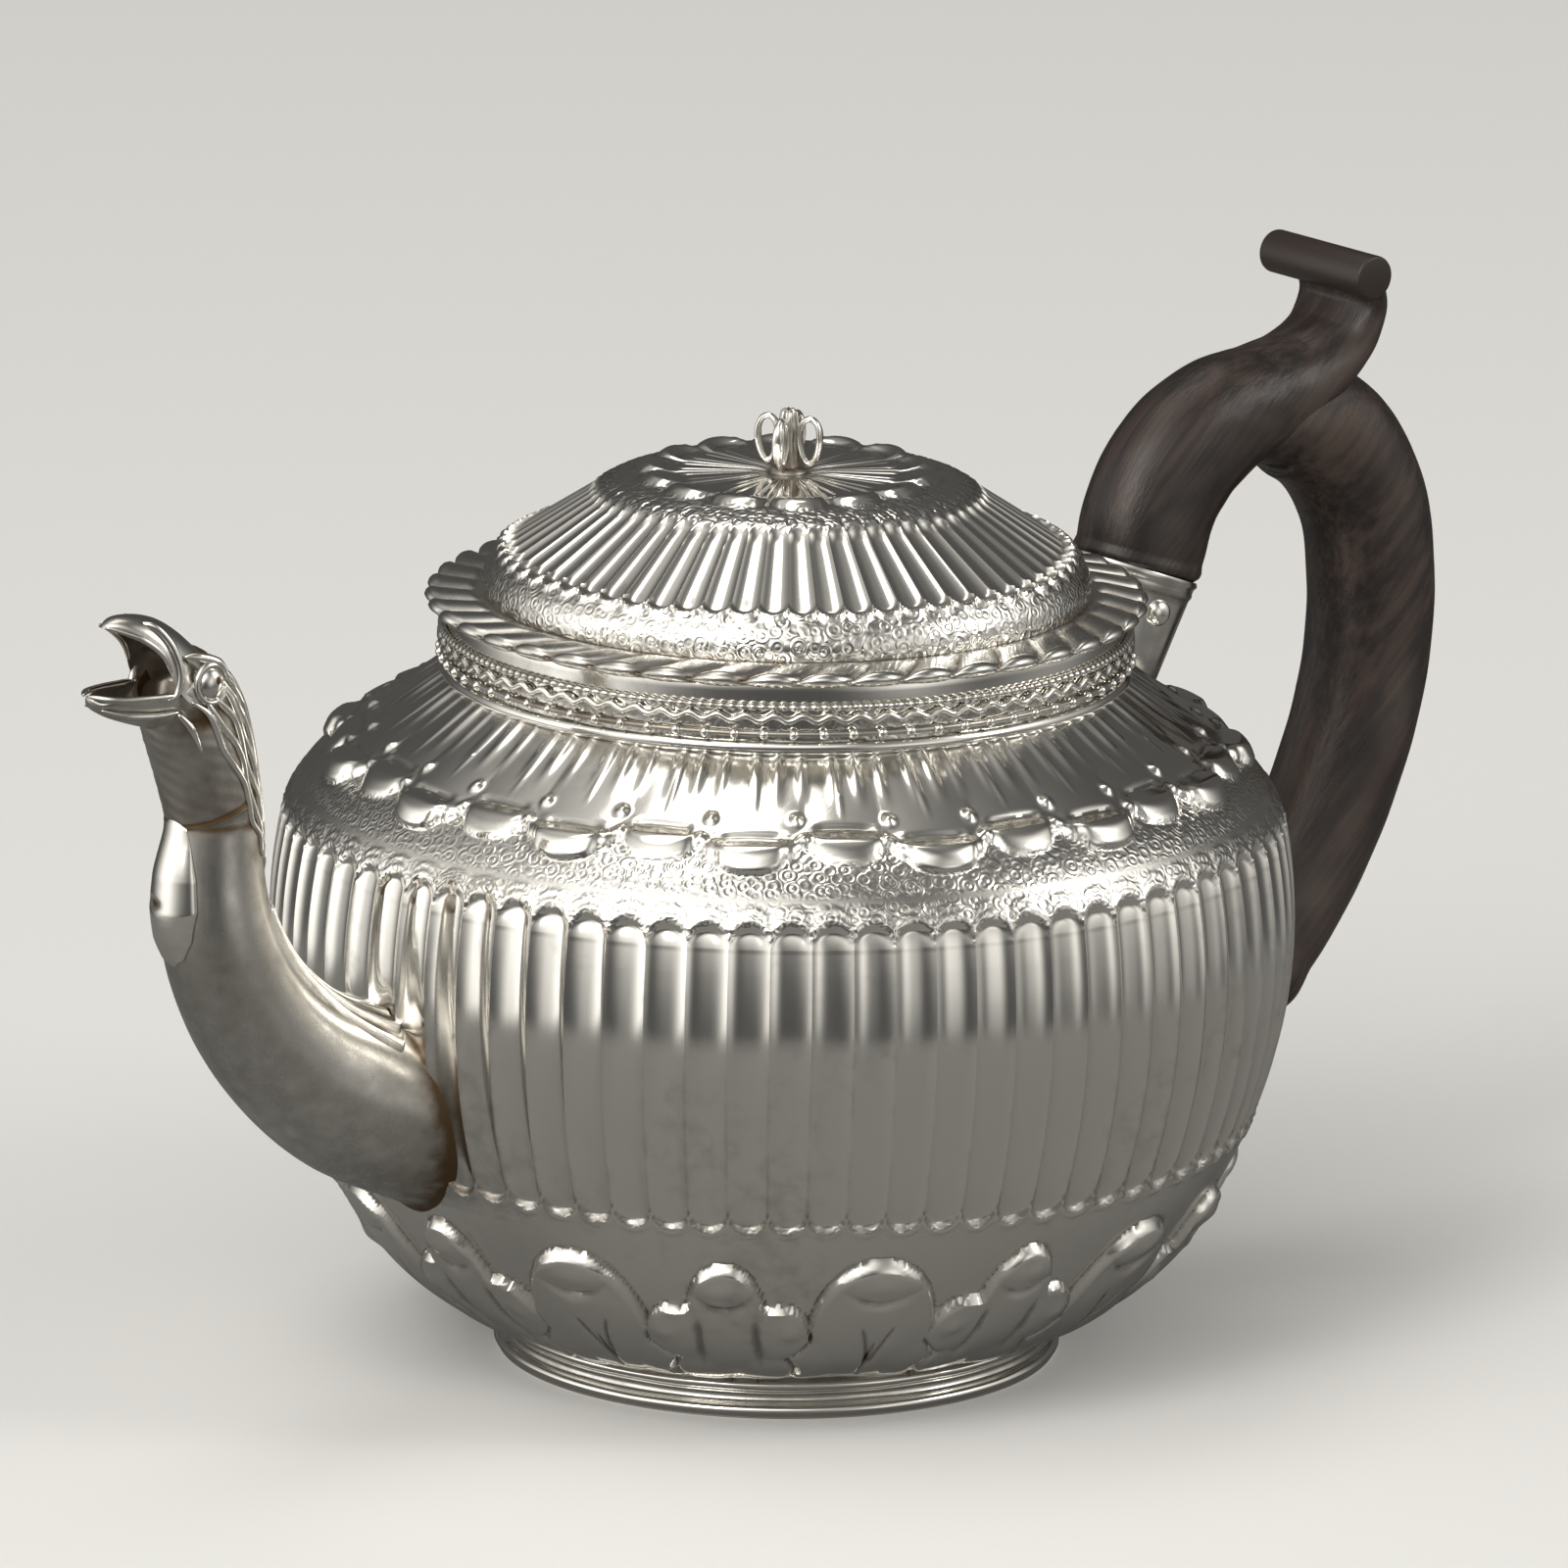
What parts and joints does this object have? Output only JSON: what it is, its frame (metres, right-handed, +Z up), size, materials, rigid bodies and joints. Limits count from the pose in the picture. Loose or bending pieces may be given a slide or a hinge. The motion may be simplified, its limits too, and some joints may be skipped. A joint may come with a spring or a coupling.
{
  "type": "teapot",
  "caption": "Round fluted silver teapot with a bird's-head spout, a lift-off domed lid with a scroll finial and a dark carved wooden handle held in pinned sockets.",
  "frame": {"origin": "centre of the foot ring's resting plane", "axes": "+Z up, the spout points along -X and the handle along +X"},
  "size_m": [0.2167, 0.132, 0.1345],
  "materials": {
    "silver": "polished and worn silver, darkened in the recesses",
    "wood": "ebonised hardwood, satin"
  },
  "bodies": {
    "pot": {"body_shell": "silver", "foot_ring": "silver", "neck_collar": "silver", "neck_moulding": "silver", "collar_bead_wire": "silver", "collar_wave_wire": "silver", "collar_milled_wire": "silver", "spout_tube": "silver", "spout_head": "silver", "spout_breast_drop": "silver", "spout_back_leaf": "silver", "handle_upper_socket": "silver", "handle_upper_pin": "silver", "handle_lower_socket": "silver", "handle_lower_pin": "silver", "handle_grip": "wood"},
    "lid": {"lid_border": "silver", "lid_bezel": "silver", "lid_dome": "silver", "finial_post": "silver", "finial_scrolls": "silver", "finial_washer": "silver", "finial_nut": "silver"}
  },
  "joints": [
    {"name": "lid_lift", "type": "slide", "parent": "pot", "child": "lid", "axis": [0, 0, 1], "range_m": [0, 0.06]}
  ]
}
